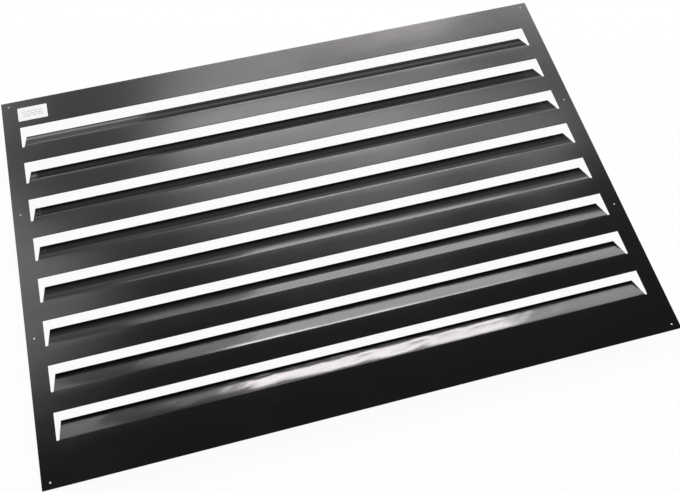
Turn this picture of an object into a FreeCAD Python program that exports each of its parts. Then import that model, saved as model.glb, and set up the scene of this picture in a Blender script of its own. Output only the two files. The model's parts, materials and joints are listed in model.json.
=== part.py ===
"""Louvred sheet metal panel with a blank adhesive label.

The panel is one piece of sheet. Long slots are cut in it, one above the other. Each slot keeps a
flap, which stays joined to the sheet along the slot's lower edge and is bent down behind the sheet.

Frame: the panel lies face up on the free edges of its flaps. X runs along the louvres, Y runs up
the panel and Z points up from its face. The origin is under the panel's centre, on the surface
that it lies on. Lengths are in millimetres and angles in degrees.
"""

import FreeCAD
import Part
import Sketcher

import os

from FreeCAD import Placement, Rotation, Vector

SIZES = (
    # name, value, what it is
    ("panel_width", 720, "sheet, along the louvres"),
    ("panel_height", 506, "sheet, across the louvres"),
    ("sheet_thickness", 1.2, "sheet"),
    ("louvre_count", 8, "slots, evenly spaced"),
    ("top_margin", 42, "sheet's top edge to the first slot"),
    ("bottom_margin", 49, "last bend to the sheet's bottom edge"),
    ("side_margin", 20, "sheet's side edge to the end of a slot"),
    ("slot_height", 31.5, "slot's top edge to its bend"),
    ("cut_gap", 2, "slot's top edge to the flap before it is bent"),
    ("end_gap", 3.2, "slot's end to the flap, at the bend"),
    ("end_taper", 1, "degrees that each end of a flap leans inwards"),
    ("bend_angle", 30, "degrees that a flap is bent from flat"),
    ("bend_radius", 1.5, "inside of the bend"),
    ("neutral_share", 0.4, "place in the sheet of the layer that a bend doesn't stretch"),
    ("hole_diameter", 2.6, "mounting holes"),
    ("hole_rows", 4, "mounting holes up each side, evenly spaced"),
    ("hole_side_inset", 9, "sheet's side edge to the hole centres"),
    ("hole_end_inset", 7, "sheet's top and bottom edges to the outer hole centres"),
    ("label_length", 37, "label, along the louvres"),
    ("label_height", 21, "label, up the panel"),
    ("label_thickness", 0.15, "label"),
    ("label_corner", 1, "rounding of the label's corners"),
    ("label_left", 19.5, "sheet's left edge to the label"),
    ("label_top", 12, "sheet's top edge to the label"),
)

# Formulas that more than one feature uses
SLOT_TOP = "(Sizes.panel_height / 2 - Sizes.top_margin)"
BEND_LINE = f"({SLOT_TOP} - Sizes.slot_height)"
FLAP_WIDTH = "(Sizes.panel_width - 2 * (Sizes.side_margin + Sizes.end_gap))"
BEND_STRETCH = (
    "(Sizes.bend_angle * pi / 180"
    " * (Sizes.bend_radius + Sizes.neutral_share * Sizes.sheet_thickness))"
)
FLAP_REACH = f"(Sizes.slot_height - Sizes.cut_gap - {BEND_STRETCH})"
BEND_DROP = "(Sizes.bend_radius * (1 - cos(Sizes.bend_angle)))"
LOUVRE_DROP = f"({BEND_DROP} + {FLAP_REACH} * sin(Sizes.bend_angle))"


def make_sizes(doc):
    """The sheet of sizes: name, plain number with that name as its alias, and what it is."""
    sizes = doc.addObject("Spreadsheet::Sheet", "Sizes")
    for row, (name, value, meaning) in enumerate(SIZES, start=1):
        sizes.set(f"A{row}", name)
        sizes.set(f"B{row}", str(value))
        sizes.setAlias(f"B{row}", name)
        sizes.set(f"C{row}", meaning)
    doc.recompute()


def origin_part(body, role):
    """One of the body's own planes or axes."""
    return next(part for part in body.Origin.OriginFeatures if part.Role == role)


def make_sketch(body, name, plane):
    sketch = body.newObject("Sketcher::SketchObject", name)
    sketch.AttachmentSupport = [(plane, "")]
    sketch.MapMode = "FlatFace"
    return sketch


def make_outline(sketch, corners):
    """Straight lines through the corners and back to the first, joined end to end."""
    ends = corners[1:] + corners[:1]
    lines = [
        sketch.addGeometry(Part.LineSegment(Vector(*start, 0), Vector(*end, 0)))
        for start, end in zip(corners, ends)
    ]
    for line, following in zip(lines, lines[1:] + lines[:1]):
        sketch.addConstraint(Sketcher.Constraint("Coincident", line, 2, following, 1))
    return lines


def bind(sketch, name, formula, *constraint):
    """A constraint with a name, driven by a formula."""
    index = sketch.addConstraint(Sketcher.Constraint(*constraint))
    sketch.renameConstraint(index, name)
    sketch.setExpression(f"Constraints.{name}", formula)


def make_rectangle(sketch, width, height, base):
    """A level rectangle about the sketch's upright axis, its lower side base above the level one."""
    corners = [(-10, 1), (10, 1), (10, 5), (-10, 5)]
    lower, right, upper, left = make_outline(sketch, corners)
    sketch.addConstraint(Sketcher.Constraint("Symmetric", lower, 1, lower, 2, -2))
    sketch.addConstraint(Sketcher.Constraint("Vertical", right))
    sketch.addConstraint(Sketcher.Constraint("Horizontal", upper))
    sketch.addConstraint(Sketcher.Constraint("Vertical", left))
    bind(sketch, "width", width, "DistanceX", lower, 1, lower, 2, 20)
    bind(sketch, "height", height, "DistanceY", right, 1, right, 2, 4)
    bind(sketch, "base", base, "DistanceY", -1, 1, lower, 1, 1)


def make_plate(body, name, width, height, thickness):
    """A flat plate centred on the body's origin, with its underside on the XY plane."""
    sketch = make_sketch(body, f"{name}_outline", origin_part(body, "XY_Plane"))
    make_rectangle(sketch, width, height, f"-{height} / 2")
    pad = body.newObject("PartDesign::Pad", name)
    pad.Profile = sketch
    pad.setExpression("Length", thickness)
    return pad


def cut_through(body, name, sketch):
    """A cut up through the whole sheet, from a sketch on its underside."""
    pocket = body.newObject("PartDesign::Pocket", name)
    pocket.Profile = sketch
    pocket.Type = "ThroughAll"
    pocket.Reversed = True
    return pocket


def make_slot(body):
    """The top slot, from its top edge down to its bend line."""
    sketch = make_sketch(body, "slot_outline", origin_part(body, "XY_Plane"))
    length = "Sizes.panel_width - 2 * Sizes.side_margin"
    make_rectangle(sketch, length, "Sizes.slot_height", BEND_LINE)
    return cut_through(body, "slot", sketch)


def make_bend(body):
    """The bend: the sheet's edge at the bend line, turned down about the bend's axis."""
    sketch = make_sketch(body, "bend_section", origin_part(body, "XZ_Plane"))
    # the sketch stands on the bend line, with its level axis on the bend's axis
    sketch.setExpression("AttachmentOffset.Base.y", "-Sizes.bend_radius")
    sketch.setExpression("AttachmentOffset.Base.z", f"-{BEND_LINE}")
    make_rectangle(sketch, FLAP_WIDTH, "Sizes.sheet_thickness", "Sizes.bend_radius")
    bend = body.newObject("PartDesign::Revolution", "bend")
    bend.Profile = sketch
    bend.ReferenceAxis = (sketch, ["H_Axis"])
    bend.Reversed = True
    bend.setExpression("Angle", "Sizes.bend_angle")
    return bend


def make_flap(body):
    """The flat of the flap, from the end of the bend to its free edge, narrower at that edge."""
    plane = body.newObject("PartDesign::Plane", "flap_plane")
    plane.AttachmentSupport = [(origin_part(body, "XY_Plane"), "")]
    plane.MapMode = "FlatFace"
    plane.AttachmentOffset = Placement(Vector(), Rotation(Vector(-1, 0, 0), 30))
    bend_end = f"{BEND_LINE} + Sizes.bend_radius * sin(Sizes.bend_angle)"
    plane.setExpression("AttachmentOffset.Base.y", bend_end)
    plane.setExpression("AttachmentOffset.Base.z", f"-{BEND_DROP}")
    plane.setExpression("AttachmentOffset.Rotation.Angle", "Sizes.bend_angle")
    sketch = make_sketch(body, "flap_outline", plane)
    base, right, edge, left = make_outline(sketch, [(-10, 0), (10, 0), (9, 5), (-9, 5)])
    sketch.addConstraint(Sketcher.Constraint("Symmetric", base, 1, base, 2, -2))
    sketch.addConstraint(Sketcher.Constraint("Symmetric", edge, 1, edge, 2, -2))
    sketch.addConstraint(Sketcher.Constraint("PointOnObject", base, 1, -1))
    bind(sketch, "width", FLAP_WIDTH, "DistanceX", base, 1, base, 2, 20)
    bind(sketch, "reach", FLAP_REACH, "DistanceY", right, 1, right, 2, 5)
    lean = f"{FLAP_REACH} * tan(Sizes.end_taper)"
    bind(sketch, "lean", lean, "DistanceX", right, 2, right, 1, 1)
    flap = body.newObject("PartDesign::Pad", "flap")
    flap.Profile = sketch
    flap.setExpression("Length", "Sizes.sheet_thickness")
    return flap


def make_louvres(body):
    """A slot, its bend and its flap, repeated down the sheet to the bottom margin."""
    first = [make_slot(body), make_bend(body), make_flap(body)]
    louvres = body.newObject("PartDesign::LinearPattern", "louvres")
    louvres.Originals = first
    louvres.Direction = (origin_part(body, "Y_Axis"), [""])
    louvres.Reversed = True
    span = f"{BEND_LINE} + Sizes.panel_height / 2 - Sizes.bottom_margin"
    louvres.setExpression("Length", span)
    louvres.setExpression("Occurrences", "Sizes.louvre_count")
    body.Tip = louvres


def make_mounting_holes(body):
    """Punched holes beside the left and right edges, from the bottom corners upwards."""
    sketch = make_sketch(body, "hole_outline", origin_part(body, "XY_Plane"))
    up = Vector(0, 0, 1)
    for side in (-1, 1):
        hole = sketch.addGeometry(Part.Circle(Vector(10 * side, -10, 0), up, 2))
        name = "left" if side < 0 else "right"
        across = f"{side} * (Sizes.panel_width / 2 - Sizes.hole_side_inset)"
        down = "-(Sizes.panel_height / 2 - Sizes.hole_end_inset)"
        bind(sketch, f"{name}_x", across, "DistanceX", -1, 1, hole, 3, 10 * side)
        bind(sketch, f"{name}_y", down, "DistanceY", -1, 1, hole, 3, -10)
        bind(sketch, f"{name}_diameter", "Sizes.hole_diameter", "Diameter", hole, 4)
    punched = cut_through(body, "bottom_holes", sketch)
    holes = body.newObject("PartDesign::LinearPattern", "mounting_holes")
    holes.Originals = [punched]
    holes.Direction = (origin_part(body, "Y_Axis"), [""])
    holes.setExpression("Length", "Sizes.panel_height - 2 * Sizes.hole_end_inset")
    holes.setExpression("Occurrences", "Sizes.hole_rows")
    body.Tip = holes


def make_panel(doc):
    """The folded sheet, lifted until its flaps' free edges stand on the surface below."""
    body = doc.addObject("PartDesign::Body", "louvred_panel")
    make_plate(body, "sheet", "Sizes.panel_width", "Sizes.panel_height", "Sizes.sheet_thickness")
    make_louvres(body)
    make_mounting_holes(body)
    body.setExpression("Placement.Base.z", LOUVRE_DROP)
    return body


def make_label(doc):
    """The blank label, stuck to the face between the top edge and the first louvre."""
    body = doc.addObject("PartDesign::Body", "blank_label")
    paper = make_plate(
        body, "paper", "Sizes.label_length", "Sizes.label_height", "Sizes.label_thickness"
    )
    doc.recompute()
    uprights = [
        f"Edge{number}"
        for number, edge in enumerate(paper.Shape.Edges, start=1)
        if abs(edge.tangentAt(edge.FirstParameter).z) > 0.5
    ]
    corners = body.newObject("PartDesign::Fillet", "corners")
    corners.Base = (paper, uprights)
    corners.setExpression("Radius", "Sizes.label_corner")
    left = "Sizes.label_left + Sizes.label_length / 2 - Sizes.panel_width / 2"
    body.setExpression("Placement.Base.x", left)
    top = "Sizes.panel_height / 2 - Sizes.label_top - Sizes.label_height / 2"
    body.setExpression("Placement.Base.y", top)
    body.setExpression("Placement.Base.z", f"{LOUVRE_DROP} + Sizes.sheet_thickness")
    return body


def check(doc, bodies):
    """Stops if a feature failed, a body isn't one sound solid, or a feature changed nothing."""
    for thing in doc.Objects:
        if {"Invalid", "Error"} & set(thing.State):
            raise RuntimeError(f"{thing.Name} failed: {thing.State}")
    for body in bodies:
        shape = body.Shape
        if shape.isNull() or not shape.isValid() or len(shape.Solids) != 1:
            raise RuntimeError(f"{body.Label} isn't one sound solid")
    for feature in doc.Objects:
        base = getattr(feature, "BaseFeature", None)
        if base is None or feature.isDerivedFrom("PartDesign::Body"):
            continue
        cuts = feature.isDerivedFrom("PartDesign::Pocket")
        change = feature.Shape.Volume - base.Shape.Volume
        if change == 0 or (cuts and change > 0):
            raise RuntimeError(f"{feature.Name} changed the volume by {change}")


def main():
    doc = FreeCAD.newDocument("louvred_panel")
    make_sizes(doc)
    bodies = [make_panel(doc), make_label(doc)]
    doc.recompute()
    check(doc, bodies)
    os.makedirs("parts", exist_ok=True)
    for body in bodies:
        body.Shape.exportStep(f"parts/{body.Label}.step")


main()
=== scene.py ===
import json
import math

import bmesh
import bpy
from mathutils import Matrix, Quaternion, Vector
from mathutils.bvhtree import BVHTree


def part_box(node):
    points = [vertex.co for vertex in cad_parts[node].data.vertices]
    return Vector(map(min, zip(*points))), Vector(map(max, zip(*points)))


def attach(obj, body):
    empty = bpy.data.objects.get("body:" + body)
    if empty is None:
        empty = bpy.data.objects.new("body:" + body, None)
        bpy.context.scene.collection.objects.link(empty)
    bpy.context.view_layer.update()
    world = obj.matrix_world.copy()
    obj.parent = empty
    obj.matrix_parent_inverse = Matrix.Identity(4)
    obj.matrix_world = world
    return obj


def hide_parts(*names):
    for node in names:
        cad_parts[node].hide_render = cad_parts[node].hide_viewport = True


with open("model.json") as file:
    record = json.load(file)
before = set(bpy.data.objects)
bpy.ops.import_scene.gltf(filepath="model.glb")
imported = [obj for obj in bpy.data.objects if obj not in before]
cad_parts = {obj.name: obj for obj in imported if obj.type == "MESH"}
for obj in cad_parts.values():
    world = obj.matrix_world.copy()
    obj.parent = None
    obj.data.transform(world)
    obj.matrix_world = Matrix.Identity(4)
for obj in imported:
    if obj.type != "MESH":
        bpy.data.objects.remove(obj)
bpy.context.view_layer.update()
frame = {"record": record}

# A louvred sheet metal panel: one black coated sheet, slotted and folded into eight louvres,
# with a small blank paper label in one corner of its face. It lies on its flaps, face up.

MM = 0.001
PANEL_LOW, PANEL_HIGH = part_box("louvred_panel")
LABEL_LOW, LABEL_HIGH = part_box("blank_label")
PANEL_LENGTH = PANEL_HIGH.x - PANEL_LOW.x
PANEL_HEIGHT = PANEL_HIGH.y - PANEL_LOW.y
FACE_HEIGHT = PANEL_HIGH.z
FACE_CENTRE = Vector((0, 0, FACE_HEIGHT))

# The sheet and its louvres.
SHEET_THICKNESS = 1.2 * MM
LOUVRE_COUNT = 8
TOP_MARGIN = 42 * MM
BOTTOM_MARGIN = 49 * MM
SIDE_MARGIN = 20 * MM
SLOT_HEIGHT = 31.5 * MM
CUT_GAP = 2 * MM
END_GAP = 3.2 * MM
END_TAPER = math.radians(1)
BEND_ANGLE = math.radians(30)
BEND_RADIUS = 1.5 * MM
NEUTRAL_SHARE = 0.4
NEUTRAL_RADIUS = BEND_RADIUS + NEUTRAL_SHARE * SHEET_THICKNESS
FLAP_REACH = SLOT_HEIGHT - CUT_GAP - NEUTRAL_RADIUS * BEND_ANGLE

# The sheet's rounded edges, its faint wave and its drilled holes.
EDGE_ROUND = 0.12 * MM
EDGE_SEGMENTS = 2
EDGE_ANGLE = math.radians(40)
SHEET_WAVE = 0.12 * MM
SWELLS_PER_METRE = 7.0
WAVE_SEED = 3.0
WELD_DISTANCE = 0.01 * MM
DRILL_SIDES = 32
DRILL_LENGTH = 4 * FACE_HEIGHT
COATING_IN_HOLES = 0.3 * MM

# The label.
LABEL_CORNER = 1 * MM
LABEL_EDGE_SHARE = 0.3

# How finely the meshes are divided.
FLAP_COLUMNS = 56
MARGIN_COLUMNS = 2
BEND_ROWS = 6
FLAP_ROWS = 6
STRIP_ROWS = 3
SLOT_SIDE_ROWS = 3
LABEL_COLUMNS = 12
LABEL_ROWS = 6
LABEL_CORNER_STEPS = 5

# Kinds of socket in the node trees.
GEOMETRY = "NodeSocketGeometry"
NUMBER = "NodeSocketFloat"
PLACE = "NodeSocketVector"


# ---------------------------------------------------------------- node trees

class Quantity:
    """A value in a node tree. Arithmetic on it adds Math nodes to that tree."""

    def __init__(self, tree, socket):
        self.tree = tree
        self.socket = socket

    def math(self, operation, *others):
        node = self.tree.nodes.new("ShaderNodeMath")
        node.operation = operation
        for value, socket in zip((self, *others), node.inputs):
            feed(self.tree, socket, value)
        return Quantity(self.tree, node.outputs[0])

    def __add__(self, other):
        return self.math("ADD", other)

    def __sub__(self, other):
        return self.math("SUBTRACT", other)

    def __mul__(self, other):
        return self.math("MULTIPLY", other)

    def __truediv__(self, other):
        return self.math("DIVIDE", other)

    def __neg__(self):
        return self * -1

    def least(self, other):
        return self.math("MINIMUM", other)

    def most(self, other):
        return self.math("MAXIMUM", other)

    def sin(self):
        return self.math("SINE")

    def cos(self):
        return self.math("COSINE")

    def tan(self):
        return self.math("TANGENT")

    def floor(self):
        return self.math("FLOOR")

    def fraction(self):
        return self.math("FRACT")

    def size(self):
        return self.math("ABSOLUTE")

    def exponential(self):
        return self.math("EXPONENT")

    def power(self, exponent):
        return self.math("POWER", exponent)

    def reciprocal(self):
        return self.power(-1.0)


def feed(tree, socket, value):
    """Gives a node's input a fixed value, or a link where the value comes from another node."""
    if isinstance(value, Quantity):
        value = value.socket
    if isinstance(value, bpy.types.NodeSocket):
        tree.links.new(value, socket)
    else:
        socket.default_value = value


def add_node(tree, kind, inputs=None, **settings):
    """A new node with its settings made and its inputs fed by name."""
    node = tree.nodes.new(kind)
    for name, value in settings.items():
        setattr(node, name, value)
    for name, value in (inputs or {}).items():
        feed(tree, node.inputs[name], value)
    return node


def new_group(name, kind, inputs, outputs):
    """A node group with named sockets: its tree, its inputs as quantities and its output node."""
    tree = bpy.data.node_groups.new(name, kind)
    for socket_name, socket_type, value in inputs:
        socket = tree.interface.new_socket(name=socket_name, in_out="INPUT", socket_type=socket_type)
        if value is not None:
            socket.default_value = value
    for socket_name, socket_type in outputs:
        tree.interface.new_socket(name=socket_name, in_out="OUTPUT", socket_type=socket_type)
    start = tree.nodes.new("NodeGroupInput")
    given = {socket.name: Quantity(tree, socket) for socket in start.outputs if socket.name}
    return tree, given, tree.nodes.new("NodeGroupOutput")


def point(tree, across, up, above):
    """A place or a move, put together from its three parts."""
    node = add_node(tree, "ShaderNodeCombineXYZ", {"X": across, "Y": up, "Z": above})
    return Quantity(tree, node.outputs[0])


def parts_of(tree, place):
    """The three parts of a place: across, up and above."""
    node = add_node(tree, "ShaderNodeSeparateXYZ", {"Vector": place})
    return [Quantity(tree, socket) for socket in node.outputs]


def position(tree):
    """Where each point of the geometry is."""
    return Quantity(tree, add_node(tree, "GeometryNodeInputPosition").outputs[0])


def join(tree, pieces):
    """Several pieces of geometry as one."""
    node = tree.nodes.new("GeometryNodeJoinGeometry")
    for piece in pieces:
        tree.links.new(piece, node.inputs["Geometry"])
    return node.outputs[0]


def shift(tree, geometry, offset):
    """Geometry moved by an offset."""
    node = add_node(tree, "GeometryNodeTransform", {"Geometry": geometry, "Translation": offset})
    return node.outputs[0]


def patch(tree, left, right, low, high, columns, rows):
    """A flat rectangle of the sheet, divided into columns and rows."""
    grid = add_node(tree, "GeometryNodeMeshGrid", {
        "Size X": right - left,
        "Size Y": high - low,
        "Vertices X": columns + 1,
        "Vertices Y": rows + 1,
    })
    middle = point(tree, (left + right) * 0.5, (low + high) * 0.5, 0.0)
    return shift(tree, grid.outputs["Mesh"], middle)


def repeat_up(tree, geometry, count, pitch, first):
    """Copies of a piece, evenly spaced up the panel."""
    places = add_node(tree, "GeometryNodeMeshLine", {
        "Count": count,
        "Start Location": point(tree, 0.0, first, 0.0),
        "Offset": point(tree, 0.0, pitch, 0.0),
    }, mode="OFFSET")
    copies = add_node(tree, "GeometryNodeInstanceOnPoints", {
        "Points": places.outputs[0],
        "Instance": geometry,
    })
    return add_node(tree, "GeometryNodeRealizeInstances", {"Geometry": copies.outputs[0]}).outputs[0]


# ---------------------------------------------------------------- the folded sheet

def folded_flap(tree, given):
    """One flap, from its bend at y = 0 to its free edge, turned down under the sheet's face."""
    all_rows = BEND_ROWS + FLAP_ROWS
    half = given["Panel length"] * 0.5 - given["Side margin"] - given["End gap"]
    grid = add_node(tree, "GeometryNodeMeshGrid", {
        "Size X": half * 2,
        "Size Y": float(all_rows),
        "Vertices X": FLAP_COLUMNS + 1,
        "Vertices Y": all_rows + 1,
    })
    across, from_middle_row, _ = parts_of(tree, position(tree))
    row = from_middle_row + all_rows / 2
    turned = (row / BEND_ROWS).least(1.0) * given["Bend angle"]
    straight = ((row - BEND_ROWS).most(0.0) / FLAP_ROWS) * given["Flap reach"]
    radius = given["Face radius"]
    up = turned.sin() * radius + straight * given["Bend angle"].cos()
    down = radius - turned.cos() * radius + straight * given["Bend angle"].sin()
    length = turned * radius + straight
    narrowed = across - across / half * length * given["End taper"].tan()
    bent = add_node(tree, "GeometryNodeSetPosition", {
        "Geometry": grid.outputs["Mesh"],
        "Position": point(tree, narrowed, up, -down),
    })
    return bent.outputs[0]


def full_width_strip(tree, given, low, high, rows):
    """An unbroken strip from side to side, with columns that meet those of the flaps."""
    half = given["Panel length"] * 0.5
    slot_half = half - given["Side margin"]
    flap_half = slot_half - given["End gap"]
    stops = [-half, -slot_half, -flap_half, flap_half, slot_half, half]
    columns = [MARGIN_COLUMNS, 1, FLAP_COLUMNS, 1, MARGIN_COLUMNS]
    return join(tree, [
        patch(tree, left, right, low, high, count, rows)
        for left, right, count in zip(stops, stops[1:], columns)
    ])


def slot_sides(tree, given):
    """The sheet to the left and right of one slot."""
    half = given["Panel length"] * 0.5
    slot_half = half - given["Side margin"]
    top = given["Slot height"]
    bottom = top * 0.0
    return [
        patch(tree, -half, -slot_half, bottom, top, MARGIN_COLUMNS, SLOT_SIDE_ROWS),
        patch(tree, slot_half, half, bottom, top, MARGIN_COLUMNS, SLOT_SIDE_ROWS),
    ]


def make_sheet_tree():
    """The sheet's face side as one surface: strips, slots and folded flaps."""
    tree, given, end = new_group("folded louvred sheet", "GeometryNodeTree", [
        ("Sheet", GEOMETRY, None),
        ("Panel length", NUMBER, 0.7),
        ("Panel height", NUMBER, 0.5),
        ("Face height", NUMBER, 0.01),
        ("Top margin", NUMBER, 0.04),
        ("Bottom margin", NUMBER, 0.04),
        ("Side margin", NUMBER, 0.02),
        ("Louvre count", "NodeSocketInt", 8),
        ("Slot height", NUMBER, 0.03),
        ("End gap", NUMBER, 0.003),
        ("End taper", NUMBER, 0.0),
        ("Bend angle", NUMBER, 0.5),
        ("Face radius", NUMBER, 0.003),
        ("Flap reach", NUMBER, 0.03),
        ("Wave", NUMBER, 0.0),
        ("Wave seed", NUMBER, 0.0),
        ("Material", "NodeSocketMaterial", None),
    ], [("Sheet", GEOMETRY)])
    bottom = given["Panel height"] * -0.5
    top = given["Panel height"] * 0.5
    first_bend = bottom + given["Bottom margin"]
    last_slot_top = top - given["Top margin"]
    gaps = given["Louvre count"] - 1
    pitch = (last_slot_top - given["Slot height"] - first_bend) / gaps
    louvre = join(tree, [folded_flap(tree, given), *slot_sides(tree, given)])
    strip = full_width_strip(tree, given, given["Slot height"], pitch, STRIP_ROWS)
    surface = join(tree, [
        full_width_strip(tree, given, bottom, first_bend, STRIP_ROWS),
        repeat_up(tree, louvre, given["Louvre count"], pitch, first_bend),
        repeat_up(tree, strip, gaps, pitch, first_bend),
        full_width_strip(tree, given, last_slot_top, top, STRIP_ROWS),
    ])
    welded = add_node(tree, "GeometryNodeMergeByDistance", {
        "Geometry": surface,
        "Distance": WELD_DISTANCE,
    })
    waved = add_node(tree, "GeometryNodeSetPosition", {
        "Geometry": welded.outputs[0],
        "Offset": point(tree, 0.0, 0.0, sheet_wave(tree, given) + given["Face height"]),
    })
    smooth = add_node(tree, "GeometryNodeSetShadeSmooth", {"Geometry": waved.outputs[0]})
    plain = add_node(tree, "GeometryNodeRealizeInstances", {"Geometry": smooth.outputs[0]})
    coated = add_node(tree, "GeometryNodeSetMaterial", {
        "Geometry": plain.outputs[0],
        "Material": given["Material"],
    })
    feed(tree, end.inputs["Sheet"], coated.outputs[0])
    return tree


def sheet_wave(tree, given):
    """A faint low wave in the rolled sheet. It fades out towards the flaps' free edges."""
    here = position(tree)
    swells = add_node(tree, "ShaderNodeTexNoise", {
        "Vector": here,
        "W": given["Wave seed"],
        "Scale": SWELLS_PER_METRE,
        "Detail": 1.0,
    }, noise_dimensions="4D")
    above_face = parts_of(tree, here)[2]
    drop = given["Flap reach"] * given["Bend angle"].sin()
    fade = (above_face / drop + 1.0).most(0.0)
    return -(Quantity(tree, swells.outputs[0]) * given["Wave"] * fade)


def make_drill_tree():
    """
    Round holes drilled through a mesh, in two columns that are mirror images. The drilled
    walls are left without a material.
    """
    tree, given, end = new_group("mounting holes", "GeometryNodeTree", [
        ("Sheet", GEOMETRY, None),
        ("Spacing across", NUMBER, 0.7),
        ("Spacing up", NUMBER, 0.4),
        ("Rows", "NodeSocketInt", 4),
        ("Hole radius", NUMBER, 0.002),
        ("Drill length", NUMBER, 0.05),
    ], [("Sheet", GEOMETRY)])
    drill = add_node(tree, "GeometryNodeMeshCylinder", {
        "Vertices": DRILL_SIDES,
        "Radius": given["Hole radius"],
        "Depth": given["Drill length"],
    })
    pitch = given["Spacing up"] / (given["Rows"] - 1)
    column = repeat_up(tree, drill.outputs["Mesh"], given["Rows"], pitch, given["Spacing up"] * -0.5)
    half = given["Spacing across"] * 0.5
    drills = join(tree, [
        shift(tree, column, point(tree, half, 0.0, 0.0)),
        shift(tree, column, point(tree, -half, 0.0, 0.0)),
    ])
    cut = add_node(tree, "GeometryNodeMeshBoolean", {
        "Mesh 1": given["Sheet"],
        "Mesh 2": drills,
    }, operation="DIFFERENCE", solver="EXACT")
    feed(tree, end.inputs["Sheet"], cut.outputs[0])
    return tree


def use_tree(piece, tree, values):
    """Adds a tree to a piece as a modifier and sets its inputs by their identifiers."""
    modifier = piece.modifiers.new(tree.name, "NODES")
    modifier.node_group = tree
    inputs = [item for item in tree.interface.items_tree if item.in_out == "INPUT"]
    identifiers = {item.name: item.identifier for item in inputs}
    for name, value in values.items():
        modifier[identifiers[name]] = value


def place_in_scene(name, data):
    """A new object at the origin: a mesh, a lamp or a camera."""
    thing = bpy.data.objects.new(name, data)
    bpy.context.scene.collection.objects.link(thing)
    return thing


def finished_mesh(piece, name):
    """A plain mesh object with everything that the piece's modifiers made."""
    evaluated = piece.evaluated_get(bpy.context.evaluated_depsgraph_get())
    mesh = bpy.data.meshes.new_from_object(evaluated)
    mesh.name = name
    bpy.data.objects.remove(piece)
    return place_in_scene(name, mesh)


def round_edges(piece, name, width):
    """Rounds a piece's sharp edges, with its flat faces still shaded flat."""
    edges = piece.modifiers.new(name, "BEVEL")
    edges.width = width
    edges.segments = EDGE_SEGMENTS
    edges.limit_method = "ANGLE"
    edges.angle_limit = EDGE_ANGLE
    edges.harden_normals = True


def mount(name):
    """A mount of the part as its record gives it."""
    return next(each for each in frame["record"]["mounts"] if each["name"] == name)


def make_folded_sheet(finish):
    """The whole sheet: folded, given its thickness, drilled and rounded at its edges."""
    piece = place_in_scene("sheet blank", bpy.data.meshes.new("sheet blank"))
    use_tree(piece, make_sheet_tree(), {
        "Panel length": PANEL_LENGTH,
        "Panel height": PANEL_HEIGHT,
        "Face height": FACE_HEIGHT,
        "Top margin": TOP_MARGIN,
        "Bottom margin": BOTTOM_MARGIN,
        "Side margin": SIDE_MARGIN,
        "Louvre count": LOUVRE_COUNT,
        "Slot height": SLOT_HEIGHT,
        "End gap": END_GAP,
        "End taper": END_TAPER,
        "Bend angle": BEND_ANGLE,
        "Face radius": BEND_RADIUS + SHEET_THICKNESS,
        "Flap reach": FLAP_REACH,
        "Wave": SHEET_WAVE,
        "Wave seed": WAVE_SEED,
        "Material": finish,
    })
    wall = piece.modifiers.new("thickness", "SOLIDIFY")
    wall.thickness = SHEET_THICKNESS
    wall.offset = -1
    wall.use_even_offset = True
    outer = mount("corner_holes")["dims"]
    inner = mount("side_holes")["dims"]
    use_tree(piece, make_drill_tree(), {
        "Spacing across": outer["spacing_x_mm"] * MM,
        "Spacing up": outer["spacing_y_mm"] * MM,
        "Rows": round(outer["spacing_y_mm"] / inner["spacing_y_mm"]) + 1,
        "Hole radius": outer["hole_r_mm"] * MM - COATING_IN_HOLES,
        "Drill length": DRILL_LENGTH,
    })
    round_edges(piece, "rounded edges", EDGE_ROUND)
    return finished_mesh(piece, "folded_sheet")


# ---------------------------------------------------------------- the paper label

def rounded_outline(low, high, corner, steps):
    """Points round a rectangle with rounded corners, anticlockwise."""
    centres = [
        (high.x - corner, high.y - corner),
        (low.x + corner, high.y - corner),
        (low.x + corner, low.y + corner),
        (high.x - corner, low.y + corner),
    ]
    points = []
    for quarter, (across, up) in enumerate(centres):
        for step in range(steps + 1):
            turn = (quarter + step / steps) * math.pi / 2
            points.append((across + corner * math.cos(turn), up + corner * math.sin(turn)))
    return points


def make_paper_label(finish, sheet):
    """A thin label with rounded corners, pressed down on the sheet."""
    form = bmesh.new()
    outline = rounded_outline(LABEL_LOW, LABEL_HIGH, LABEL_CORNER, LABEL_CORNER_STEPS)
    form.faces.new([form.verts.new((across, up, 0)) for across, up in outline])
    for step in range(1, LABEL_COLUMNS):
        across = LABEL_LOW.x + (LABEL_HIGH.x - LABEL_LOW.x) * step / LABEL_COLUMNS
        cut_across(form, (across, 0, 0), (1, 0, 0))
    for step in range(1, LABEL_ROWS):
        up = LABEL_LOW.y + (LABEL_HIGH.y - LABEL_LOW.y) * step / LABEL_ROWS
        cut_across(form, (0, up, 0), (0, 1, 0))
    surface = BVHTree.FromObject(sheet, bpy.context.evaluated_depsgraph_get())
    thickness = LABEL_HIGH.z - LABEL_LOW.z
    for corner in form.verts:
        above = Vector((corner.co.x, corner.co.y, 2 * FACE_HEIGHT))
        touched = surface.ray_cast(above, Vector((0, 0, -1)))[0]
        corner.co.z = touched.z + thickness
    mesh = bpy.data.meshes.new("paper_label")
    form.to_mesh(mesh)
    form.free()
    mesh.shade_smooth()
    mesh.materials.append(finish)
    piece = place_in_scene("label blank", mesh)
    paper = piece.modifiers.new("thickness", "SOLIDIFY")
    paper.thickness = thickness
    paper.offset = -1
    round_edges(piece, "soft edges", thickness * LABEL_EDGE_SHARE)
    return finished_mesh(piece, "paper_label")


def cut_across(form, place, along):
    """Divides every face that a plane meets."""
    everything = form.verts[:] + form.edges[:] + form.faces[:]
    bmesh.ops.bisect_plane(form, geom=everything, plane_co=place, plane_no=along)


# ---------------------------------------------------------------- finishes

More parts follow.
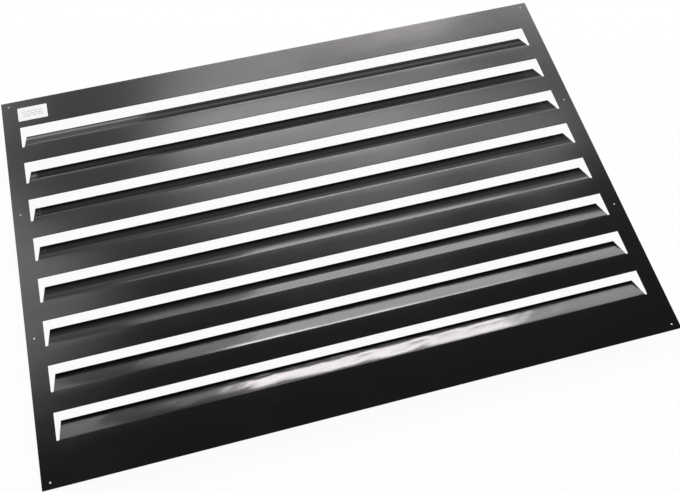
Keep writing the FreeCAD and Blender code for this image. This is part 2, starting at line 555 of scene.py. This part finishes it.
# Linear colours.
COATING_BLACK = (0.0066, 0.0062, 0.0062, 1)
# The lighter coating of the flaps is painted light, not dust: it stands in for light that the flaps
# mirror.
PAINTED_LIGHT_COATING = (0.026, 0.025, 0.025, 1)
DUST_SPECK = (0.4, 0.38, 0.36, 1)
LABEL_PAPER = (0.88, 0.88, 0.88, 1)
HANDLED_PAPER = (0.6, 0.59, 0.57, 1)
PRINT_GREY = (0.2, 0.2, 0.21, 1)

# The coating is glossier on the flaps than on the face. Smears make it a little duller.
FACE_ROUGHNESS = 0.2
FLAP_ROUGHNESS = 0.12
SMEAR_ROUGHNESS = 0.03
GLOSSY_DEPTH = 0.3 * MM

# The coating's finer pebbles, as shares of its larger ones, and the sheet's long ripples.
FINE_PEBBLE_SIZE = 0.35
FINE_PEBBLE_DEPTH = 0.3
RIPPLE_SQUEEZE = 2.5

# The dish in the shading of the flaps: the angle that it takes off their lean. The curl of
# the lip is a height in metres for each square metre of depth past the lip's start.
TOP_FLAP_DISH = math.radians(10)
BOTTOM_FLAP_DISH = math.radians(15.3)
TOP_DISH_FADE = 4 * MM
DISH_FADE_POWER = 1.5
LIP_START = 7.5 * MM
LIP_CURL = 30

# The waves in the shading of the lowest flaps. They start and are full at heights given as
# shares of the panel's height from its middle, and are centred on the noise's usual level.
WAVE_SLANT = math.radians(36)
WAVE_STRETCH = 4
USUAL_NOISE = 0.52
WAVES_START = -0.2
WAVES_FULL = -0.36
WAVE_EASE_DEPTH = 6 * MM

# What stays of the painted light on the flaps at their free edges, and where cloudy smears and dust
# specks gather.
EDGE_PAINTED_LIGHT = 0.3
SMEAR_TURN = 0.6
SMEAR_SQUEEZE = 2.4
SMEAR_EDGES = (0.45, 0.75)
SPECK_CORE = 0.5
SPECK_PATCH_SIZE = 9.0
SPECK_PATCH_EDGES = (0.4, 0.7)

# The print: its share of the label, and how its dashes, rows and margins begin and end.
PRINT_LENGTH_SHARE = 0.72
PRINT_HEIGHT_SHARE = 0.5
PRINT_ROWS = 3.0
PRINT_STRENGTH = 0.6
DASH_SIZE = 2 * MM
DASH_EDGES = (0.42, 0.58)
ROW_JUMP = 0.37
ROW_EDGES = (0.34, 0.2)
SIDE_EDGES = (0.5, 0.47)
TOP_EDGES = (0.5, 0.49)


def noise(tree, place, size, detail=2.0, roughness=0.5):
    """Soft noise from 0 to 1 whose patches are about as large as the size."""
    scale = size.reciprocal() if isinstance(size, Quantity) else 1 / size
    node = add_node(tree, "ShaderNodeTexNoise", {
        "Vector": place,
        "Scale": scale,
        "Detail": detail,
        "Roughness": roughness,
    })
    return Quantity(tree, node.outputs[0])


def squeezed(tree, place, squeeze, turn=0.0):
    """A place for a pattern that is squeezed up the panel and turned about +Z."""
    node = add_node(tree, "ShaderNodeMapping", {
        "Vector": place,
        "Rotation": (0, 0, turn),
        "Scale": (1, squeeze, 1),
    })
    return Quantity(tree, node.outputs[0])


def ramp(tree, value, low, high, to_low=0.0, to_high=1.0):
    """A smooth step between two results while the value goes from low to high."""
    node = add_node(tree, "ShaderNodeMapRange", {
        "Value": value,
        "From Min": low,
        "From Max": high,
        "To Min": to_low,
        "To Max": to_high,
    }, interpolation_type="SMOOTHSTEP")
    return Quantity(tree, node.outputs[0])


def blend_colour(tree, share, first, second):
    """The first colour where the share is 0, the second where it is 1."""
    node = add_node(tree, "ShaderNodeMix", {"Factor": share}, data_type="RGBA")
    feed(tree, node.inputs[6], first)
    feed(tree, node.inputs[7], second)
    return Quantity(tree, node.outputs[2])


def depth_below(tree, place, face_height):
    """How deep a place lies below the sheet's face."""
    above = parts_of(tree, place)[2]
    return -above + face_height


def new_effect(name, result, numbers):
    """A shader group that reads a place and some named numbers and puts out one number."""
    inputs = [("Place", PLACE, None), *((each, NUMBER, value) for each, value in numbers.items())]
    return new_group(name, "ShaderNodeTree", inputs, [(result, NUMBER)])


def make_coating_grain():
    """The fine pebbled surface of a baked coating."""
    tree, given, end = new_effect("coating grain", "Height", {
        "Pebble size": 0.001,
        "Depth": 0.00001,
    })
    large = noise(tree, given["Place"], given["Pebble size"], detail=1.0)
    small = noise(tree, given["Place"], given["Pebble size"] * FINE_PEBBLE_SIZE)
    feed(tree, end.inputs["Height"], (large + small * FINE_PEBBLE_DEPTH) * given["Depth"])
    return tree


def make_sheet_ripple():
    """Long shallow ripples left by rolling and folding, drawn out along the louvres."""
    tree, given, end = new_effect("sheet ripple", "Height", {
        "Ripple length": 0.05,
        "Depth": 0.0001,
    })
    drawn_out = squeezed(tree, given["Place"], RIPPLE_SQUEEZE)
    swell = noise(tree, drawn_out, given["Ripple length"], detail=1.0)
    feed(tree, end.inputs["Height"], swell * given["Depth"])
    return tree


def make_flap_dish():
    """
    The look of a slight dish in the flaps, in their shading alone: outwards of the bend they
    turn up a little. The dish is given as height for each unit of depth below the face. In
    the upper flaps it eases off with depth, and in the lower ones it reaches the free edge.
    The lip along the free edge curls up a little more.
    """
    tree, given, end = new_effect("flap dish", "Height", {
        "Face height": 0.01,
        "Panel height": 0.5,
        "Dish at the top": 0.1,
        "Dish at the bottom": 0.3,
        "Easing at the top": 200.0,
        "Lip start": 0.008,
        "Lip curl": 30.0,
    })
    depth = depth_below(tree, given["Place"], given["Face height"]).most(0.0)
    from_bottom = parts_of(tree, given["Place"])[1] / given["Panel height"] + 0.5
    from_top = -from_bottom + 1.0
    deepening = given["Dish at the bottom"] - given["Dish at the top"]
    dish = given["Dish at the top"] + deepening * from_top * from_top * from_top
    easing = given["Easing at the top"] * from_bottom.most(0.0).power(DISH_FADE_POWER)
    easing = easing.most(1.0)
    eased_depth = (-(-(depth * easing)).exponential() + 1.0) / easing
    lip = (depth - given["Lip start"]).most(0.0)
    feed(tree, end.inputs["Height"], eased_depth * dish + lip * lip * given["Lip curl"])
    return tree


def make_flap_waves():
    """Slanting waves in the flaps' shading, which fade out towards the face and the upper flaps."""
    tree, given, end = new_effect("flap waves", "Height", {
        "Face height": 0.01,
        "Panel height": 0.5,
        "Slant": 0.4,
        "Wave length": 0.02,
        "Depth": 0.0003,
    })
    across, up, _ = parts_of(tree, given["Place"])
    depth = depth_below(tree, given["Place"], given["Face height"])
    along = across * given["Slant"].cos() + up * given["Slant"].sin()
    away = up * given["Slant"].cos() - across * given["Slant"].sin()
    slanted = point(tree, along / WAVE_STRETCH, away, 0.0)
    swell = noise(tree, slanted, given["Wave length"], detail=1.0)
    low_enough = ramp(tree, up / given["Panel height"], WAVES_START, WAVES_FULL)
    share = ramp(tree, depth, 0.0, WAVE_EASE_DEPTH) * low_enough
    feed(tree, end.inputs["Height"], (swell - USUAL_NOISE) * share * given["Depth"])
    return tree


def make_flap_painted_light():
    """Painted light: a lighter veil half way down the flaps, standing in for light that they mirror.
    """
    tree, given, end = new_effect("flap painted light", "Mask", {
        "Face height": 0.01,
        "Full depth": 0.009,
        "Fade depth": 0.015,
    })
    depth = depth_below(tree, given["Place"], given["Face height"])
    # Painted light: it grows from the bend down to the full depth, then fades to a share of itself at
    # the free edges.
    settled = ramp(tree, depth, 0.0, given["Full depth"])
    fading_out = ramp(tree, depth, given["Full depth"], given["Fade depth"], 1.0, EDGE_PAINTED_LIGHT)
    feed(tree, end.inputs["Mask"], settled * fading_out)
    return tree


def make_handling_marks():
    """Faint cloudy smears from hands and wiping."""
    tree, given, end = new_effect("handling marks", "Mask", {
        "Mark size": 0.05,
        "Strength": 1.0,
    })
    wiped = squeezed(tree, given["Place"], SMEAR_SQUEEZE, SMEAR_TURN)
    clouds = noise(tree, wiped, given["Mark size"], detail=4.0, roughness=0.6)
    feed(tree, end.inputs["Mask"], ramp(tree, clouds, *SMEAR_EDGES) * given["Strength"])
    return tree


def make_settled_dust():
    """Sparse pale specks, only where the surface looks up."""
    tree, given, end = new_effect("settled dust", "Mask", {
        "Speck spacing": 0.004,
        "Speck share": 0.1,
        "Strength": 0.2,
    })
    cells = add_node(tree, "ShaderNodeTexVoronoi", {
        "Vector": given["Place"],
        "Scale": given["Speck spacing"].reciprocal(),
        "Randomness": 1.0,
    })
    from_centre = Quantity(tree, cells.outputs["Distance"])
    speck = ramp(tree, from_centre, given["Speck share"], given["Speck share"] * SPECK_CORE)
    clouds = noise(tree, given["Place"], given["Speck spacing"] * SPECK_PATCH_SIZE)
    patchy = ramp(tree, clouds, *SPECK_PATCH_EDGES)
    facing = add_node(tree, "ShaderNodeNewGeometry").outputs["Normal"]
    upward = parts_of(tree, facing)[2].most(0.0)
    feed(tree, end.inputs["Mask"], speck * patchy * upward * given["Strength"])
    return tree


def make_faint_print():
    """Rows of short pale grey dashes, which say nothing, inside a margin."""
    tree, given, end = new_effect("faint print", "Mask", {
        "Centre across": 0.0,
        "Centre up": 0.0,
        "Print length": 0.03,
        "Print height": 0.01,
        "Rows": 3.0,
    })
    from_left, from_below, _ = parts_of(tree, given["Place"])
    across = (from_left - given["Centre across"]) / given["Print length"]
    up = (from_below - given["Centre up"]) / given["Print height"]
    row = (up + 0.5) * given["Rows"]
    from_row_middle = (row.fraction() - 0.5).size()
    dash_place = point(tree, across * given["Print length"], row.floor() * ROW_JUMP, 0.0)
    dashes = noise(tree, dash_place, DASH_SIZE, detail=1.0)
    strokes = ramp(tree, dashes, *DASH_EDGES) * ramp(tree, from_row_middle, *ROW_EDGES)
    inside = ramp(tree, across.size(), *SIDE_EDGES) * ramp(tree, up.size(), *TOP_EDGES)
    feed(tree, end.inputs["Mask"], strokes * inside)
    return tree


def use_effect(tree, effect, place, values):
    """Puts an effect in a material, with the material's own values for it."""
    node = tree.nodes.new("ShaderNodeGroup")
    node.node_tree = effect
    feed(tree, node.inputs["Place"], place)
    for name, value in values.items():
        feed(tree, node.inputs[name], value)
    return Quantity(tree, node.outputs[0])


def make_material(name, **constants):
    """A material with one Principled shader, whose fixed values are set on its own sockets."""
    material = bpy.data.materials.new(name)
    material.use_nodes = True
    tree = material.node_tree
    tree.nodes.clear()
    shader = tree.nodes.new("ShaderNodeBsdfPrincipled")
    for socket, value in constants.items():
        shader.inputs[socket.replace("_", " ")].default_value = value
    output = tree.nodes.new("ShaderNodeOutputMaterial")
    tree.links.new(shader.outputs[0], output.inputs["Surface"])
    return material, tree, shader


def object_place(tree):
    """The place on the piece itself, in its own coordinates."""
    return Quantity(tree, tree.nodes.new("ShaderNodeTexCoord").outputs["Object"])


def add_bump(tree, shader, height):
    """Lets a height in metres turn the surface's shading."""
    bump = add_node(tree, "ShaderNodeBump", {"Height": height, "Strength": 1.0, "Distance": 1.0})
    feed(tree, shader.inputs["Normal"], bump.outputs[0])


def make_black_coating(effects):
    """The black coating: grain, ripples, dished and waved flaps, smears, dust specks and painted light
    on the flaps.
    """
    material, tree, shader = make_material("black satin coating", Specular_IOR_Level=0.5)
    place = object_place(tree)
    marks = use_effect(tree, effects["marks"], place, {"Mark size": 90 * MM, "Strength": 1.0})
    dust = use_effect(tree, effects["dust"], place, {
        "Speck spacing": 5 * MM,
        "Speck share": 0.06,
        "Strength": 0.06,
    })
    grain = use_effect(tree, effects["grain"], place, {
        "Pebble size": 1.1 * MM,
        "Depth": 0.002 * MM,
    })
    ripple = use_effect(tree, effects["ripple"], place, {
        "Ripple length": 45 * MM,
        "Depth": 0.06 * MM,
    })
    dish = use_effect(tree, effects["dish"], place, {
        "Face height": FACE_HEIGHT,
        "Panel height": PANEL_HEIGHT,
        "Dish at the top": math.tan(TOP_FLAP_DISH) / math.sin(BEND_ANGLE),
        "Dish at the bottom": math.tan(BOTTOM_FLAP_DISH) / math.sin(BEND_ANGLE),
        "Easing at the top": 1 / TOP_DISH_FADE,
        "Lip start": LIP_START,
        "Lip curl": LIP_CURL,
    })
    waves = use_effect(tree, effects["waves"], place, {
        "Face height": FACE_HEIGHT,
        "Panel height": PANEL_HEIGHT,
        "Slant": WAVE_SLANT,
        "Wave length": 24 * MM,
        "Depth": 0.8 * MM,
    })
    # Painted light: the flaps' coating turns lighter below the face, standing in for light that they
    # mirror.
    painted_flap_light = use_effect(tree, effects["flap_painted_light"], place, {
        "Face height": FACE_HEIGHT,
        "Full depth": 9 * MM,
        "Fade depth": 15 * MM,
    })
    coating_with_painted_light = blend_colour(tree, painted_flap_light, COATING_BLACK, PAINTED_LIGHT_COATING)
    feed(tree, shader.inputs["Base Color"], blend_colour(tree, dust, coating_with_painted_light, DUST_SPECK))
    glossier = ramp(tree, depth_below(tree, place, FACE_HEIGHT), 0.0, GLOSSY_DEPTH)
    roughness = marks * SMEAR_ROUGHNESS + FACE_ROUGHNESS
    roughness = roughness - glossier * (FACE_ROUGHNESS - FLAP_ROUGHNESS)
    feed(tree, shader.inputs["Roughness"], roughness)
    add_bump(tree, shader, grain + ripple + dish + waves)
    return material


def make_label_finish(effects):
    """White paper, lightly handled, with a print that says nothing."""
    material, tree, shader = make_material("label paper", Specular_IOR_Level=0.35)
    place = object_place(tree)
    middle = (LABEL_LOW + LABEL_HIGH) / 2
    size = LABEL_HIGH - LABEL_LOW
    printed = use_effect(tree, effects["print"], place, {
        "Centre across": middle.x,
        "Centre up": middle.y,
        "Print length": size.x * PRINT_LENGTH_SHARE,
        "Print height": size.y * PRINT_HEIGHT_SHARE,
        "Rows": PRINT_ROWS,
    })
    marks = use_effect(tree, effects["marks"], place, {"Mark size": 12 * MM, "Strength": 0.04})
    grain = use_effect(tree, effects["grain"], place, {
        "Pebble size": 0.35 * MM,
        "Depth": 0.008 * MM,
    })
    paper = blend_colour(tree, marks, LABEL_PAPER, HANDLED_PAPER)
    inked = blend_colour(tree, printed * PRINT_STRENGTH, paper, PRINT_GREY)
    feed(tree, shader.inputs["Base Color"], inked)
    feed(tree, shader.inputs["Roughness"], marks + 0.5)
    add_bump(tree, shader, grain)
    return material


# ---------------------------------------------------------------- floor, light and camera

# The camera's aim, a little below the panel's middle, and its distance go by the panel's length.
CAMERA_AIM = Vector((0.01376, -0.0755, 0)) * PANEL_LENGTH + FACE_CENTRE
CAMERA_DISTANCE = 1.4164 * PANEL_LENGTH
CAMERA_ELEVATION = math.radians(62.359)
CAMERA_AZIMUTH = math.radians(16.966)
CAMERA_ROLL = math.radians(2.245)
CAMERA_LENS = 45.462

# The soft boxes stand round the face's centre. The floor glows: to the camera it is white,
# and the coating mirrors it as a dimmer one. The rest of it is a plain matt surface.
SOFTBOX_DISTANCE = 2.5
FLOOR_REACH = 6.0
FLOOR_COLOUR = (0.9, 0.9, 0.9, 1)
FLOOR_IN_MIRROR = 0.35
GLOW_TO_CAMERA = 0.96
GLOW_TO_MIRROR = 0.9
WORLD_LIGHT = 0.06


def direction(azimuth, elevation):
    """A unit vector. Azimuth turns from +Y towards +X."""
    level = math.cos(elevation)
    return Vector((math.sin(azimuth) * level, math.cos(azimuth) * level, math.sin(elevation)))


def add_camera():
    """The camera, which looks down on the panel from beyond its lower edge."""
    lens = bpy.data.cameras.new("camera")
    lens.lens = CAMERA_LENS
    camera = place_in_scene("camera", lens)
    look = direction(CAMERA_AZIMUTH, -CAMERA_ELEVATION)
    camera.location = CAMERA_AIM - look * CAMERA_DISTANCE
    upright = look.to_track_quat("-Z", "Y")
    camera.rotation_mode = "QUATERNION"
    camera.rotation_quaternion = Quaternion(look, -CAMERA_ROLL) @ upright
    bpy.context.scene.camera = camera


def add_softbox(name, left, right, low, high, brightness, colour=(1, 1, 1)):
    """
    A soft box that faces the panel, between two azimuths and two elevations in degrees.
    Its brightness is that of its face, with white paper as 1.
    """
    half_across = math.radians(right - left) / 2
    half_upright = math.radians(high - low) / 2
    azimuth = math.radians((left + right) / 2)
    elevation = math.radians((low + high) / 2)
    lamp = bpy.data.lights.new(name, "AREA")
    lamp.shape = "RECTANGLE"
    lamp.size = 2 * SOFTBOX_DISTANCE * math.tan(half_across) * math.cos(elevation)
    lamp.size_y = 2 * SOFTBOX_DISTANCE * math.tan(half_upright)
    lamp.energy = brightness * math.pi * lamp.size * lamp.size_y
    lamp.color = colour
    box = place_in_scene(name, lamp)
    away = direction(azimuth, elevation)
    box.location = FACE_CENTRE + away * SOFTBOX_DISTANCE
    box.rotation_mode = "QUATERNION"
    box.rotation_quaternion = (-away).to_track_quat("-Z", "Y")


def make_floor():
    """A pale floor that glows white where it is looked at, and still takes the panel's shadow."""
    corners = [(-1, -1), (1, -1), (1, 1), (-1, 1)]
    mesh = bpy.data.meshes.new("floor")
    mesh.from_pydata([(x * FLOOR_REACH, y * FLOOR_REACH, 0) for x, y in corners], [], [(0, 1, 2, 3)])
    material, tree, shader = make_material("pale floor", Base_Color=FLOOR_COLOUR, Roughness=1.0)
    path = tree.nodes.new("ShaderNodeLightPath")
    seen = Quantity(tree, path.outputs["Is Camera Ray"])
    mirrored = Quantity(tree, path.outputs["Is Glossy Ray"])
    glow = add_node(tree, "ShaderNodeEmission", {"Strength": mirrored * (FLOOR_IN_MIRROR - 1.0) + 1.0})
    mix = tree.nodes.new("ShaderNodeMixShader")
    feed(tree, mix.inputs[0], (seen * GLOW_TO_CAMERA).most(mirrored * GLOW_TO_MIRROR))
    feed(tree, mix.inputs[1], shader.outputs[0])
    feed(tree, mix.inputs[2], glow.outputs[0])
    output = next(node for node in tree.nodes if node.type == "OUTPUT_MATERIAL")
    feed(tree, output.inputs["Surface"], mix.outputs[0])
    mesh.materials.append(material)
    place_in_scene("floor", mesh)


def make_world():
    """A dim even world, which the camera sees as white."""
    world = bpy.data.worlds.new("studio")
    world.use_nodes = True
    bpy.context.scene.world = world
    tree = world.node_tree
    back = tree.nodes["Background"]
    back.inputs["Color"].default_value = (1, 1, 1, 1)
    seen = Quantity(tree, tree.nodes.new("ShaderNodeLightPath").outputs["Is Camera Ray"])
    feed(tree, back.inputs["Strength"], seen * (1 - WORLD_LIGHT) + WORLD_LIGHT)


def light_the_studio():
    """
    A broad key light beyond the panel's upper edge, in bands that fade from a bright core,
    with dimmer boxes to its left and right and one wide, faint fill.
    """
    add_softbox("fill", -65, 65, 8, 61, 0.6)
    add_softbox("key low", -1, 28, 20, 36, 5.4)
    add_softbox("key core", -5, 29, 36.4, 42, 22, (1, 0.94, 0.98))
    add_softbox("key high", -8, 14, 48, 54, 7.4)
    add_softbox("key high right", 14, 28, 49, 54, 7.6)
    add_softbox("key edge", -8, 34, 54, 60, 2.2)
    add_softbox("key top", -8, 34, 60, 64, 0.7)
    add_softbox("key right", 27, 50, 46, 53, 3.4)
    add_softbox("low right", 28, 44, 20, 40, 4.2)
    add_softbox("left low", -46, -22, 22, 44, 2.2)
    add_softbox("left middle", -14, -1, 24, 40, 2)
    add_softbox("left high", -54, -30, 46, 62, 3)
    add_softbox("left floor", -36, -7, 1, 9, 2.2)
    add_softbox("right side", 46, 75, 4, 30, 6)


effects = {
    "grain": make_coating_grain(),
    "ripple": make_sheet_ripple(),
    "dish": make_flap_dish(),
    "waves": make_flap_waves(),
    "flap_painted_light": make_flap_painted_light(),
    "marks": make_handling_marks(),
    "dust": make_settled_dust(),
    "print": make_faint_print(),
}
black_coating = make_black_coating(effects)
folded_sheet = make_folded_sheet(black_coating)
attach(folded_sheet, "root")
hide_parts("louvred_panel")

paper_label = make_paper_label(make_label_finish(effects), folded_sheet)
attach(paper_label, "root")
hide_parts("blank_label")

make_floor()
make_world()
light_the_studio()
add_camera()
bpy.context.scene.view_settings.view_transform = "Standard"
